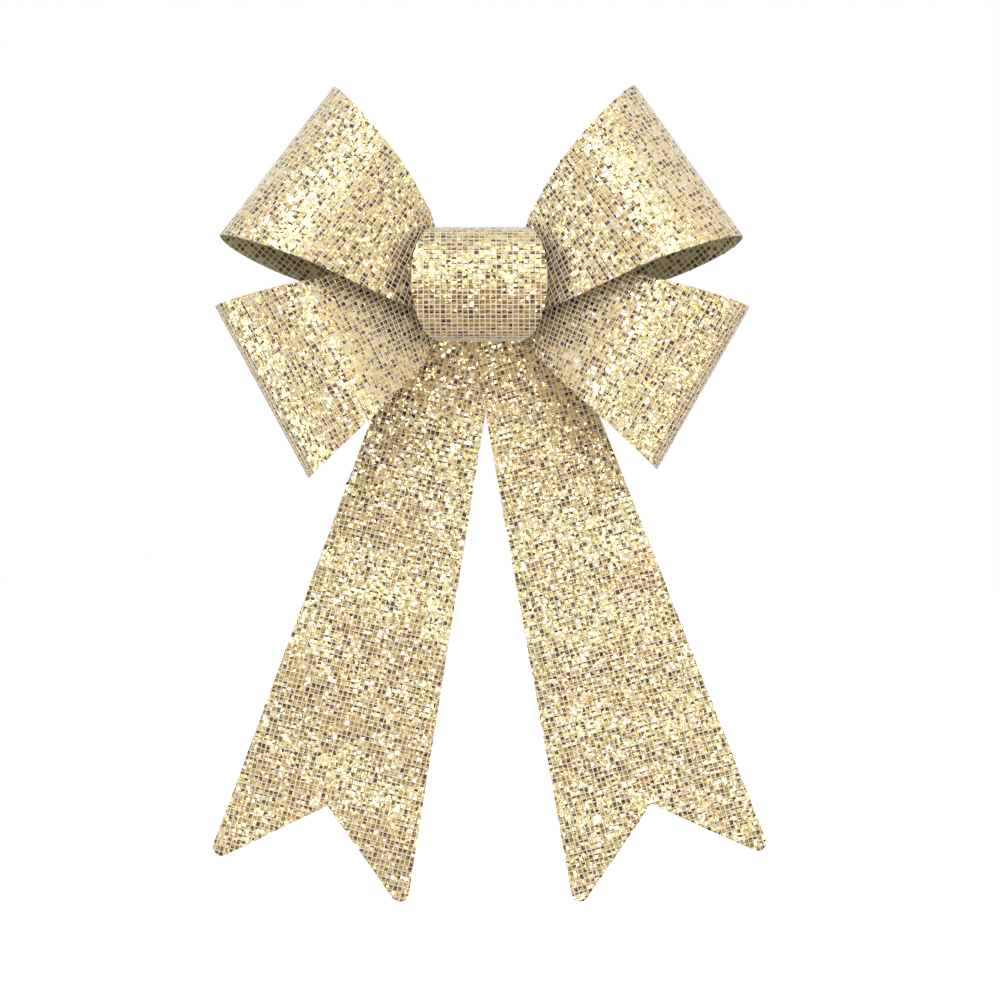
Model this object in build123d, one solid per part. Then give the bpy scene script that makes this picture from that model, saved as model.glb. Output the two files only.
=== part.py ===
from build123d import *
import math
import os

# Cheer hair bow, in millimetres.
# +Z is up as worn, the bow's face looks along -Y and the hair is behind it, along +Y.
# The origin is the middle of the clip's mouth, level with the middle of the knot.

# Ribbon sheet, and the stack of its layers in the middle of the bow
SHEET = 0.6
LAYER_PITCH = 0.7
STACK_Y = -12.0

# Loops: (fold middle x, z, direction of the loop at its fold, at its root, half width at the fold)
LOOPS = {
    "upper_left": (-66.5, 39.4, 145.3, 148.0, 31.3),
    "upper_right": (68.6, 39.5, 33.0, 31.0, 31.2),
    "lower_left": (-72.1, -36.3, 208.7, 208.0, 32.5),
    "lower_right": (73.9, -35.0, -29.8, -25.0, 31.0),
}
ROOT_Z = {"upper": -6.2, "lower": 2.2}
ROOT_HALF_WIDTH = 6.2
ROOT_TAB_INNER = -2.0
TAPER_HALF_WIDTH = 8.0
OUTER_NECK = (12.0, 27.0)
INNER_NECK = (6.0, 21.0)
ROOT_UPRIGHT = 0.6
UPRIGHT_TO = 0.15
UPRIGHT_FADES_BY = 0.6
LOOP_CREST_AT = 0.69
LEAN_STARTS_AT = 0.1
LEAN_FULL_AT = 0.45
SKEW_STARTS_AT = 0.15
SKEW_FULL_AT = 0.5
STATIONS_PER_CURVE = 9

# Reach of the handles that shape a loop's section, in the strip's direction and in depth
TAB_HANDLE = 12.0
CREST_HANDLE = 14.0
FRONT_BEND = (11.0, 8.0)
BACK_BEND = (13.0, 9.0)

# Depths of a loop's walls, all measured from the stack: the crest of the front wall, the fold, the
# crest of the back wall, where the two root tabs end, the lean in degrees, how far each wall slides
# sideways for each millimetre of depth from the fold, and the power of the strip's taper
DEPTHS = {
    "upper": {"front": -25.0, "fold": -11.0, "back": 7.0, "front_tab": 10.0, "back_tab": 18.0, "lean": 12.0,
              "front_skew": 0.07, "back_skew": 0.20, "flare": 0.95},
    "lower": {"front": -21.0, "fold": -7.5, "back": 8.5, "front_tab": 17.0, "back_tab": 8.0, "lean": 2.0,
              "front_skew": -0.06, "back_skew": -0.12, "flare": 0.85},
}
FRONT_LAYER = {"upper_left": 0, "upper_right": 1, "lower_left": 2, "lower_right": 3}
LAYERS_IN_STACK = 8

# Tails: swallow-tailed strips that flare downwards
TAIL_LENGTH = 222.6
TAIL_TOP_Z = 9.0
TAIL_TOP_HALF_WIDTH = 13.3
TAIL_TIP_HALF_WIDTH = 35.4
TAIL_NOTCH = 30.0
TAIL_CORNER_RADIUS = 3.0
TAIL_NOTCH_RADIUS = 0.8
TAIL_TOP_X = {"left": -3.6, "right": 6.0}
TAIL_ANGLE = {"left": -14.7, "right": 15.8}
TAIL_TOP_Y = {"left": 8.15, "right": 7.5}
TAIL_SET_BACK = 4.6
TAIL_BEND_FROM_Z = -9.0
TAIL_BEND_TO_Z = -46.0

# Knot band: a barrel-shaped sleeve round the stack, lapped and glued at the back
KNOT_HALF_HEIGHT = 18.4
KNOT_CENTRE_Z = -0.4
KNOT_CENTRE_Y = -7.0
KNOT_FRONT_DEPTH = 13.2
KNOT_BACK_DEPTH = 12.7
KNOT_HALF_WIDTH_TOP = 14.8
KNOT_FRONT_SWELL = 7.2
KNOT_BACK_TAPER = 3.0
KNOT_BACK_SQUARENESS = 0.35
KNOT_LAP_DEGREES = 30.0
KNOT_LAP_START = 20.0
KNOT_LAP_RISE = (345.0, 20.0)
KNOT_STATIONS = 44

# Cable tie round the stack
TIE_WIDTH = 2.5
TIE_THICKNESS = 0.8
TIE_INSIDE_Y = 2.95
TIE_INSIDE_Z = 12.35
TIE_CENTRE_Z = -1.9
TIE_HEAD = (4.4, 3.4, 4.6)
TIE_RADII = (2.0, 3.0)
TIE_STUB = 4.0

# Glue and felt behind the knot, as depths from the stack
TAIL_GLUE = (17.0, 0.5, 7.0)
FELT = (46.0, 1.2, 15.0)
CLIP_GLUE = (30.0, 0.25, 6.0)
FELT_FRONT = 8.47
FELT_CENTRE_X = 2.0

# Alligator clip
STEEL = 0.8
PLATE_INNER_Y = -1.25
PLATE_TIP_X = -26.0
PLATE_END_X = 31.0
PLATE_WIDTH = 9.0
PLATE_CORNER_RADIUS = 3.0
PLATE_SLOT = (22.0, 2.4)
PLATE_SLOT_FROM_TIP = 20.0
JAW_WIDTH = 6.6
JAW_EDGE_RADIUS = 0.2
JAW_HANDLE_CORNER = 1.6
JAW_BEND_RADIUS = 9.0
JAW_RIB = (15.0, 1.8, 0.3)
PIVOT_X = 14.0
PIVOT_Y = 1.9
PIN_RADIUS = 1.0
PIN_HEAD_RADIUS = 1.7
PIN_HEAD = 0.6
EAR_RADIUS = 2.3
FIXED_EAR_CLEARANCE = 0.02
RUNNING_CLEARANCE = 0.06
JAW_TIP_Y = -0.35
JAW_PIVOT_Y = 4.6
JAW_HANDLE_Y = 12.4
TEETH = 5
TOOTH_WIDTH = 0.8
TOOTH_TIP = (0.25, 0.55)
WIRE = 0.7
COIL_RADIUS = 1.8
COIL_PITCH = 0.8
COIL_TURNS = 3 + 165 / 360
COIL_STEPS = 16
LEG_REACH = 13.0
HANDLE_LEG = ((2.4, 0.65), (4.4, 1.25), (5.6, 1.75), (12.5, 5.3))


def smooth(value):
    value = min(max(value, 0.0), 1.0)
    return value * value * (3.0 - 2.0 * value)


def cubic(p0, p1, p2, p3, t):
    r = 1.0 - t
    weights = (r ** 3, 3 * r * r * t, 3 * r * t * t, t ** 3)
    points = (p0, p1, p2, p3)
    return tuple(sum(w * p[i] for w, p in zip(weights, points)) for i in range(2))


def strip_solid(middles, half_rulings, thickness):
    """A bent strip of even thickness through stations, each a middle and half a ruling."""
    sections = []
    last = len(middles) - 1
    for i, (middle, half) in enumerate(zip(middles, half_rulings)):
        along = middles[min(i + 1, last)] - middles[max(i - 1, 0)]
        out = along.cross(half).normalized() * (thickness / 2)
        corners = [middle + half + out, middle - half + out, middle - half - out, middle + half - out]
        sections.append(Face(Wire.make_polygon(corners, close=True)))
    return Solid.make_loft([face.outer_wire() for face in sections], ruled=True)


def loop_profile(depths, front_y, back_y, length):
    """The loop's section from its front root tab, round the fold, to its back root tab."""
    crest = LOOP_CREST_AT * length
    front_tab, back_tab = depths["front_tab"], depths["back_tab"]
    front, fold, back = depths["front"], depths["fold"], depths["back"]
    before = crest - CREST_HANDLE
    curves = [
        ((front_tab, front_y), (front_tab + TAB_HANDLE, front_y - 2), (before, front), (crest, front)),
        ((crest, front), (crest + FRONT_BEND[0], front), (length, fold - FRONT_BEND[1]), (length, fold)),
        ((length, fold), (length, fold + BACK_BEND[1]), (crest + BACK_BEND[0], back), (crest, back)),
        ((crest, back), (before, back), (back_tab + TAB_HANDLE, back_y + 1), (back_tab, back_y)),
    ]
    points = [(ROOT_TAB_INNER, front_y), (front_tab / 3, front_y)]
    for curve in curves:
        for step in range(STATIONS_PER_CURVE):
            points.append(cubic(*curve, step / STATIONS_PER_CURVE))
    points += [(back_tab, back_y), (back_tab / 3, back_y), (ROOT_TAB_INNER, back_y)]
    return points


def loop_half_width(s, length, fold_half_width, flare, neck):
    """The strip's width to one side: a taper from the fold, gathered to a neck where the knot holds it."""
    tapered = TAPER_HALF_WIDTH + (fold_half_width - TAPER_HALF_WIDTH) * max(s / length, 0) ** flare
    gathered = smooth((s - neck[0]) / (neck[1] - neck[0]))
    return ROOT_HALF_WIDTH + (tapered - ROOT_HALF_WIDTH) * gathered


def make_loop(name):
    """One loop: a tapered strip folded back on itself, leaning back at its top."""
    fold_x, fold_z, fold_degrees, root_degrees, fold_half_width = LOOPS[name]
    tier = name.split("_")[0]
    depths = DEPTHS[tier]
    root, fold = Vector(0, 0, ROOT_Z[tier]), Vector(fold_x, 0, fold_z)
    length = (fold - root).length
    handle = Vector(length / 3, 0, 0)
    knee = root + handle.rotate(Axis.Y, -root_degrees)
    elbow = fold - handle.rotate(Axis.Y, -fold_degrees)
    layer = FRONT_LAYER[name] - (LAYERS_IN_STACK - 1) / 2
    front_y = layer * LAYER_PITCH
    back_y = front_y + LAYERS_IN_STACK / 2 * LAYER_PITCH
    necks = (OUTER_NECK, INNER_NECK) if tier == "upper" else (INNER_NECK, OUTER_NECK)
    middles, halves = [], []
    for s, depth in loop_profile(depths, front_y, back_y, length):
        t = s / length
        r = 1 - t
        place = root * r ** 3 + knee * 3 * r * r * t + elbow * 3 * r * t * t + fold * t ** 3
        along = (knee - root) * r * r + (elbow - knee) * 2 * r * t + (fold - elbow) * t * t
        ruling = along.rotate(Axis.Y, -90 if along.X > 0 else 90).normalized()
        upright = ROOT_UPRIGHT * (1 - smooth((t - UPRIGHT_TO) / (UPRIGHT_FADES_BY - UPRIGHT_TO)))
        ruling = (ruling * (1 - upright) + Vector(0, 0, upright)).normalized()
        lean = math.tan(math.radians(depths["lean"]))
        lean *= smooth((t - LEAN_STARTS_AT) / (LEAN_FULL_AT - LEAN_STARTS_AT))
        behind = depth - depths["fold"]
        slide = behind * (depths["back_skew"] if behind > 0 else depths["front_skew"])
        slide *= smooth((t - SKEW_STARTS_AT) / (SKEW_FULL_AT - SKEW_STARTS_AT))
        above = loop_half_width(s, length, fold_half_width, depths["flare"], necks[0])
        below = loop_half_width(s, length, fold_half_width, depths["flare"], necks[1])
        leaning = ruling + Vector(0, lean, 0)
        middle = place - ruling * slide + Vector(0, STACK_Y + depth, 0)
        middles.append(middle + leaning * ((above - below) / 2))
        halves.append(leaning * ((above + below) / 2))
    return strip_solid(middles, halves, SHEET)


def tail_depth(z):
    return TAIL_SET_BACK * smooth((TAIL_BEND_FROM_Z - z) / (TAIL_BEND_FROM_Z - TAIL_BEND_TO_Z))


def make_tail(side):
    """A swallow-tailed outline cut through a sheet that bends back behind the lower loops."""
    outline = [
        (-TAIL_TOP_HALF_WIDTH, 0), (TAIL_TOP_HALF_WIDTH, 0), (TAIL_TIP_HALF_WIDTH, -TAIL_LENGTH),
        (0, TAIL_NOTCH - TAIL_LENGTH), (-TAIL_TIP_HALF_WIDTH, -TAIL_LENGTH),
    ]
    face = make_face(Polyline(*outline, close=True))
    tips = face.vertices().sort_by(Axis.Y)[:2]
    face = fillet(tips, TAIL_CORNER_RADIUS)
    notch = face.vertices().sort_by(Axis.Y).filter_by(lambda v: abs(v.X) < 0.01)
    face = fillet(notch, TAIL_NOTCH_RADIUS)
    cutter = extrude(face, amount=30, both=True)
    cutter = Pos(TAIL_TOP_X[side], 0, TAIL_TOP_Z) * Rot(90, 0, 0) * Rot(0, 0, TAIL_ANGLE[side]) * cutter
    bottom = TAIL_TOP_Z - TAIL_LENGTH - 5
    levels = [TAIL_TOP_Z + 2, TAIL_BEND_FROM_Z]
    levels += [TAIL_BEND_FROM_Z + (TAIL_BEND_TO_Z - TAIL_BEND_FROM_Z) * i / 8 for i in range(1, 9)]
    levels.append(bottom)
    middles = [Vector(0, STACK_Y + TAIL_TOP_Y[side] + tail_depth(z), z) for z in levels]
    slab = strip_solid(middles, [Vector(120, 0, 0)] * len(middles), SHEET)
    return (cutter & slab).solids()[0]


def make_knot_band():
    middles, halves = [], []
    turn = 360.0 + KNOT_LAP_DEGREES
    for step in range(KNOT_STATIONS + 1):
        swept = turn * step / KNOT_STATIONS
        angle = math.radians(180.0 + KNOT_LAP_START + swept)
        front = math.cos(angle)
        lap = smooth((swept - KNOT_LAP_RISE[0]) / KNOT_LAP_RISE[1]) * LAYER_PITCH
        if front > 0:
            y = KNOT_CENTRE_Y - KNOT_FRONT_DEPTH * front
            half_width = KNOT_HALF_WIDTH_TOP + KNOT_FRONT_SWELL * front
        else:
            y = KNOT_CENTRE_Y + KNOT_BACK_DEPTH * (-front) ** KNOT_BACK_SQUARENESS + lap
            half_width = KNOT_HALF_WIDTH_TOP + KNOT_BACK_TAPER * front
        middles.append(Vector(0, STACK_Y + y, KNOT_CENTRE_Z + KNOT_HALF_HEIGHT * math.sin(angle)))
        halves.append(Vector(half_width, 0, 0))
    return strip_solid(middles, halves, SHEET)


def make_centre_tie():
    inside = RectangleRounded(2 * TIE_INSIDE_Y, 2 * TIE_INSIDE_Z, TIE_RADII[0])
    outer_y, outer_z = TIE_INSIDE_Y + TIE_THICKNESS, TIE_INSIDE_Z + TIE_THICKNESS
    outside = RectangleRounded(2 * outer_y, 2 * outer_z, TIE_RADII[1])
    ring = extrude(outside - inside, amount=TIE_WIDTH / 2, both=True)
    ring = Rot(0, 90, 0) * Rot(0, 0, 90) * ring
    head = fillet(Box(*TIE_HEAD).edges(), 0.5)
    head = Pos(0, -TIE_INSIDE_Y - TIE_THICKNESS / 2 - TIE_HEAD[1] / 2, 0) * head
    stub = Pos(0, -outer_y - TIE_STUB * 0.8, 0) * Box(TIE_WIDTH - 0.2, TIE_STUB, TIE_THICKNESS)
    tie = ring + head + stub
    return Pos(0, STACK_Y, TIE_CENTRE_Z) * tie


def make_pad(size, front, centre_x, radius):
    """A flat pad with rounded corners, whose front face is at the given depth."""
    pad = extrude(RectangleRounded(size[0], size[2], radius), amount=size[1])
    return Pos(centre_x, front, 0) * Rot(-90, 0, 0) * pad


def ear(inner_z, base_y, side, hole_radius):
    """One pierced ear of a clip plate, standing from base_y and round about the pivot."""
    disc = Cylinder(EAR_RADIUS, STEEL)
    web = Pos(0, (base_y - PIVOT_Y) / 2, 0) * Box(2 * EAR_RADIUS, abs(base_y - PIVOT_Y), STEEL)
    blank = disc + web - Cylinder(hole_radius, 3 * STEEL)
    return Pos(PIVOT_X, PIVOT_Y, side * (inner_z + STEEL / 2)) * blank


def make_clip_plate():
    length = PLATE_END_X - PLATE_TIP_X
    flat = extrude(RectangleRounded(length, PLATE_WIDTH, PLATE_CORNER_RADIUS), amount=STEEL)
    middle_x = (PLATE_END_X + PLATE_TIP_X) / 2
    plate = Pos(middle_x, PLATE_INNER_Y, 0) * Rot(90, 0, 0) * flat
    window = extrude(SlotOverall(*PLATE_SLOT), 2 * STEEL, both=True)
    plate = plate - Pos(PLATE_TIP_X + PLATE_SLOT_FROM_TIP, PLATE_INNER_Y, 0) * Rot(90, 0, 0) * window
    for side in (-1, 1):
        base = PLATE_INNER_Y - STEEL / 2
        plate = plate + ear(PLATE_WIDTH / 2 - STEEL, base, side, PIN_RADIUS + FIXED_EAR_CLEARANCE)
    return plate


def make_clip_jaw():
    """The sprung jaw: bowed away from the plate, toothed at its tip, raised at its handle."""
    inner = [
        (PLATE_TIP_X, JAW_TIP_Y), (PLATE_TIP_X + 14, JAW_TIP_Y + 2.0), (PIVOT_X - 6, JAW_PIVOT_Y),
        (PIVOT_X + 3, JAW_PIVOT_Y + 0.4), (PLATE_END_X, JAW_HANDLE_Y),
    ]
    path = FilletPolyline(*inner, radius=JAW_BEND_RADIUS)
    section = offset(path, STEEL, side=Side.LEFT, closed=True)
    jaw = extrude(make_face(section.edges()), amount=JAW_WIDTH / 2, both=True)
    corners = jaw.edges().filter_by(lambda edge: edge.length < 1.01 * STEEL and edge.center().X > PIVOT_X)
    jaw = fillet(corners, JAW_HANDLE_CORNER)
    jaw = fillet(jaw.faces().filter_by(Axis.Z).edges(), JAW_EDGE_RADIUS)
    start, end = Vector(*inner[1], 0), Vector(*inner[2], 0)
    slope = math.degrees(math.atan2(end.Y - start.Y, end.X - start.X))
    rib = extrude(SlotOverall(JAW_RIB[0], JAW_RIB[1]), STEEL / 2 + JAW_RIB[2])
    middle = (start + end) / 2
    jaw = jaw + Pos(middle.X, middle.Y, 0) * Rot(0, 0, slope) * Pos(0, STEEL / 2, 0) * Rot(-90, 0, 0) * rib
    for side in (-1, 1):
        jaw = jaw + ear(JAW_WIDTH / 2 - STEEL, JAW_PIVOT_Y + STEEL / 2, side, PIN_RADIUS + RUNNING_CLEARANCE)
    tooth_height = JAW_TIP_Y - PLATE_INNER_Y - 0.05 + STEEL / 2
    pitch = (JAW_WIDTH - TOOTH_WIDTH) / (TEETH - 1)
    for i in range(TEETH):
        z = -(JAW_WIDTH - TOOTH_WIDTH) / 2 + i * pitch
        near, far = TOOTH_TIP
        tooth = Wedge(TOOTH_WIDTH, tooth_height, TOOTH_WIDTH, near, near, far, far)
        place = Pos(PLATE_TIP_X + TOOTH_WIDTH / 2 + 0.3, JAW_TIP_Y + STEEL / 2 - tooth_height / 2, z)
        jaw = jaw + place * Rot(180, 0, 0) * tooth
    return jaw


def make_pivot_pin():
    pin = Cylinder(PIN_RADIUS, PLATE_WIDTH + 0.1)
    for side in (-1, 1):
        head = Cylinder(PIN_HEAD_RADIUS, PIN_HEAD)
        head = fillet(head.edges(), 0.2)
        pin = pin + Pos(0, 0, side * (PLATE_WIDTH / 2 + 0.05 + PIN_HEAD / 2)) * head
    return Pos(PIVOT_X, PIVOT_Y, 0) * pin


def wire_solid(points, radius, sides=8):
    """A bent round wire through points that lie nearly level, as a prism with flat sides."""
    wires = []
    last = len(points) - 1
    for i, point in enumerate(points):
        along = points[min(i + 1, last)] - points[max(i - 1, 0)]
        across = along.cross(Vector(0, 0, 1)).normalized()
        upward = across.cross(along).normalized()
        ring = []
        for k in range(sides):
            angle = 2 * math.pi * (k + 0.5) / sides
            ring.append(point + across * radius * math.cos(angle) + upward * radius * math.sin(angle))
        wires.append(Wire.make_polygon(ring, close=True))
    return Solid.make_loft(wires, ruled=True)


def make_spring():
    """Torsion spring round the pin, with one leg on the plate and one under the jaw's handle."""
    height = COIL_PITCH * COIL_TURNS
    points = [Vector(LEG_REACH, PLATE_INNER_Y - PIVOT_Y + WIRE / 2 + 0.05, -height / 2)]
    steps = round(COIL_TURNS * COIL_STEPS)
    for i in range(steps + 1):
        turned = math.radians(-90 - 360 * COIL_TURNS * i / steps)
        level = height * (i / steps - 0.5)
        points.append(Vector(COIL_RADIUS * math.cos(turned), COIL_RADIUS * math.sin(turned), level))
    for reach, lift in HANDLE_LEG:
        points.append(points[steps + 1] + Vector(reach, lift, 0))
    return Pos(PIVOT_X, PIVOT_Y, 0) * wire_solid(points, WIRE / 2)


def main():
    os.makedirs("parts", exist_ok=True)
    stack = STACK_Y
    parts = {}
    for name in LOOPS:
        parts[name + "_loop"] = make_loop(name)
    for side in ("left", "right"):
        parts[side + "_tail"] = make_tail(side)
    parts["knot_band"] = make_knot_band()
    parts["centre_tie"] = make_centre_tie()
    glue_front = TAIL_TOP_Y["right"] - SHEET / 2 - TAIL_GLUE[1]
    parts["tail_glue"] = make_pad(TAIL_GLUE, stack + glue_front, 2.0, 2.0)
    parts["felt_backing"] = make_pad(FELT, stack + FELT_FRONT, FELT_CENTRE_X, 4.0)
    parts["clip_glue"] = make_pad(CLIP_GLUE, stack + FELT_FRONT + FELT[1], FELT_CENTRE_X, 2.0)
    parts["clip_plate"] = make_clip_plate()
    parts["clip_jaw"] = make_clip_jaw()
    parts["clip_pivot_pin"] = make_pivot_pin()
    parts["clip_spring"] = make_spring()
    for name, part in parts.items():
        export_step(part, "parts/" + name + ".step")


main()
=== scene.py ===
"""Looks for a cheer hair bow of woven gold ribbon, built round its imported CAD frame. Metres throughout."""
import math

import bpy
import numpy as np
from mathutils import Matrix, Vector


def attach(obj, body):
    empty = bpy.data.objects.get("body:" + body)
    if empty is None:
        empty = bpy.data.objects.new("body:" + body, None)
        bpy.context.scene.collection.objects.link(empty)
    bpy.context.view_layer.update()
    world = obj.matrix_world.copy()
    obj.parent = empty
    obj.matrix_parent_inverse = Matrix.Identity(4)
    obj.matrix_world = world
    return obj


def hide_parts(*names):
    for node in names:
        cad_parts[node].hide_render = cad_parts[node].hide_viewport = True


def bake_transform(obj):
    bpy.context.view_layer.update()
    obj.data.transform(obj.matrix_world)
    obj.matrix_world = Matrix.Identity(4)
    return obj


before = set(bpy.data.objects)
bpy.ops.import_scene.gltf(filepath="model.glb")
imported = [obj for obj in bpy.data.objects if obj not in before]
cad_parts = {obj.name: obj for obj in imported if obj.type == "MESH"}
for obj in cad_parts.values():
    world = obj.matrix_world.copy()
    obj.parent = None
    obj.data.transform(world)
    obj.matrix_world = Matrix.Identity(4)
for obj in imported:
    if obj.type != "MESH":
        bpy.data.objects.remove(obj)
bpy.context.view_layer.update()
MM = 0.001

# ---------------------------------------------------------------- dimensions, in millimetres
STACK_Y = -12.0
LAYER_PITCH = 0.7
OUTWARDS = (0, -1, 0)

PITCH_ALONG = 1.88          # weave along a strip, weft to weft
PITCH_ACROSS = 1.60         # weave across a strip, warp to warp
FOIL_LEVEL = 0.16           # the foil's height above the sheet's middle
BACK_LEVEL = -0.24
BACK_DIMPLE = 0.07
CRINKLE_CENTRE = 0.07
CRINKLE_EDGE = 0.02
CRINKLE_SHIFT = 0.28        # share of a cell that a crinkle's peak strays
THREAD_WIDTH = 0.40
THREAD_WIDTH_VARIES = 0.10
THREAD_WIDTH_STEP = 2.3     # radians from one thread's width to the next one's
THREAD_RISE = 0.10
THREAD_SINK = -0.06
THREAD_FLAT = 0.26          # half width of a thread's flat top, as a share of its width
THREAD_WEAVE = 0.035        # how far a thread goes over and under the next ones
THREAD_LIFT = 0.02
THREAD_INSET = 0.05         # from the cut ends to the first and last weft
THREAD_SAMPLES = 12
FULL_TURN = 6.28
WOBBLE = 0.05
WOBBLE_ACROSS = (0.31, 0.9, 0.23)    # radians per mm, how much it sways, radians per mm of that sway
WOBBLE_ALONG = (0.37, 0.8, 0.19)
WOBBLE_EDGE_FADE = 2.0
WOBBLE_END_FADE = 3.0
UV_START = 100.0            # keeps the weave's coordinates positive
MERGE_DISTANCE = 0.002
TINY = 1e-6

# one seed for each loop, each tail, the knot and the felt
LOOP_SEED, TAIL_SEED, KNOT_SEED = 11, 31, 41
FELT_SEED, FIBRE_SEED = 51, 52
FOIL_SHIFT, BACKING_SHIFT = (3.0, 7), (5.0, 9)    # where each ribbon's random cells start: first, step

# middle of the fold (x, z), direction at the fold and at the root in degrees, half width at the fold
LOOPS = {
    "upper_left": (-66.5, 39.4, 145.3, 148.0, 31.3),
    "upper_right": (68.6, 39.5, 33.0, 31.0, 31.2),
    "lower_left": (-72.1, -36.3, 208.7, 208.0, 32.5),
    "lower_right": (73.9, -35.0, -29.8, -25.0, 31.0),
}
ROOT_Z = {"upper": -6.2, "lower": 2.2}
ROOT_HALF_WIDTH = 6.2
ROOT_TAB_INNER = -2.0
TAPER_HALF_WIDTH = 8.0
OUTER_NECK = (12.0, 27.0)
INNER_NECK = (6.0, 21.0)
ROOT_UPRIGHT = 0.6
UPRIGHT_TO = 0.15
UPRIGHT_FADES_BY = 0.6
LOOP_CREST_AT = 0.69
TAB_HANDLE = 12.0
TAB_RISE = {"front": -2.0, "back": 1.0}
CREST_HANDLE = 14.0
FRONT_BEND = (11.0, 8.0)
BACK_BEND = (13.0, 9.0)
LEAN_STARTS_AT = 0.1
LEAN_FULL_AT = 0.45
SKEW_STARTS_AT = 0.15
SKEW_FULL_AT = 0.5
DEPTHS = {
    "upper": {"front": -25.0, "fold": -11.0, "back": 7.0, "front_tab": 10.0, "back_tab": 18.0, "lean": 12.0,
              "front_skew": 0.07, "back_skew": 0.20, "flare": 0.95},
    "lower": {"front": -21.0, "fold": -7.5, "back": 8.5, "front_tab": 17.0, "back_tab": 8.0, "lean": 2.0,
              "front_skew": -0.06, "back_skew": -0.12, "flare": 0.85},
}
FRONT_LAYER = {"upper_left": 0, "upper_right": 1, "lower_left": 2, "lower_right": 3}
LAYERS_IN_STACK = 8
CURVE_SAMPLES = 60
TAB_SAMPLES = 12
FRONT_WALL_AT = 0.3         # a share of a loop's length that surely lies on its front wall

TAIL_LENGTH = 222.6
TAIL_TOP_Z = 9.0
TAIL_TOP_HALF_WIDTH = 13.3
TAIL_TIP_HALF_WIDTH = 35.4
TAIL_NOTCH = 30.0
TAIL_CORNER_RADIUS = 3.0
TAIL_FLARE = math.atan2(TAIL_TIP_HALF_WIDTH - TAIL_TOP_HALF_WIDTH, TAIL_LENGTH)
TAIL_CUT = math.atan2(TAIL_NOTCH, TAIL_TIP_HALF_WIDTH)
TAIL_TOP_X = {"left": -3.6, "right": 6.0}
TAIL_ANGLE = {"left": -14.7, "right": 15.8}
TAIL_TOP_Y = {"left": 8.15, "right": 7.5}
TAIL_SET_BACK = 4.6
TAIL_BEND_FROM_Z = -9.0
TAIL_BEND_TO_Z = -46.0
TAIL_WAVES = ((0.55, 0.085, 0.035), (0.35, 0.19, -0.06))    # height, radians per mm along and across
TAIL_WAVES_FROM = 60.0
TAIL_WAVES_FULL_AFTER = 60.0
TAIL_SAMPLES = 500
SNAP_ROUNDS = 3             # side edge, then cut end, until the two agree at the tip

KNOT_HALF_HEIGHT = 18.4
KNOT_CENTRE_Z = -0.4
KNOT_CENTRE_Y = -7.0
KNOT_FRONT_DEPTH = 13.2
KNOT_BACK_DEPTH = 12.7
KNOT_BACK_SQUARENESS = 0.35
KNOT_HALF_WIDTH_TOP = 14.8
KNOT_FRONT_SWELL = 7.2
KNOT_BACK_TAPER = 3.0
KNOT_LAP_DEGREES = 30.0
KNOT_LAP_START = 20.0
KNOT_LAP_RISE = (345.0, 20.0)
KNOT_PITCH_ACROSS = 1.82
KNOT_PITCH_ALONG = 1.62
KNOT_WOBBLE = 0.03
KNOT_SAMPLES = 400

FELT = (46.0, 1.2, 15.0)
FELT_FRONT = 8.47
FELT_CENTRE_X = 2.0
FELT_CORNER = 4.0
FELT_CELLS = (92, 30)
FELT_CROWN = (0.6, 0.35)    # how far in from the edge the faces round off, and by how much
FELT_LUMP = 0.03
FELT_LUMP_SHARE = 0.6
FIBRES = 1500
FIBRE_SPREAD = 0.985
FIBRE_OVERHANG = 0.2
FIBRE_EDGE_DEPTHS = (0.1, 1.1)
FIBRE_LENGTHS = (0.8, 2.2)
FIBRE_CURL = 1.6
FIBRE_RISE = 0.10
FIBRE_RADIUS = 0.022
FIBRE_STEPS = 5
FIBRE_RISING_STEPS = 3
FIBRE_SIDES = 3

PLATE_INNER_Y = -1.25
PIVOT = (14.0, 1.9)
WIRE = 0.7
WIRE_SIDES = 14
COIL_RADIUS = 1.8
COIL_PITCH = 0.8
COIL_TURNS = 3 + 165 / 360
COIL_SAMPLES = 150
LEG_REACH = 13.0
LEG_CLEARANCE = 0.05
LEG_SAMPLES = 20
HANDLE_LEG = ((2.4, 0.65), (4.4, 1.25), (5.6, 1.75), (12.5, 5.3))
HANDLE_LEG_SAMPLES = 32


def smooth(value):
    value = np.clip(value, 0.0, 1.0)
    return value * value * (3.0 - 2.0 * value)


def cubic(p0, p1, p2, p3, t):
    """Points of a Bezier curve."""
    t = np.asarray(t)[:, None]
    r = 1.0 - t
    return (r ** 3 * np.array(p0) + 3 * r * r * t * np.array(p1)
            + 3 * r * t * t * np.array(p2) + t ** 3 * np.array(p3))


def unit(vectors):
    return vectors / np.linalg.norm(vectors, axis=-1, keepdims=True)


def heading(degrees):
    return np.array([math.cos(math.radians(degrees)), math.sin(math.radians(degrees))])


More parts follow.
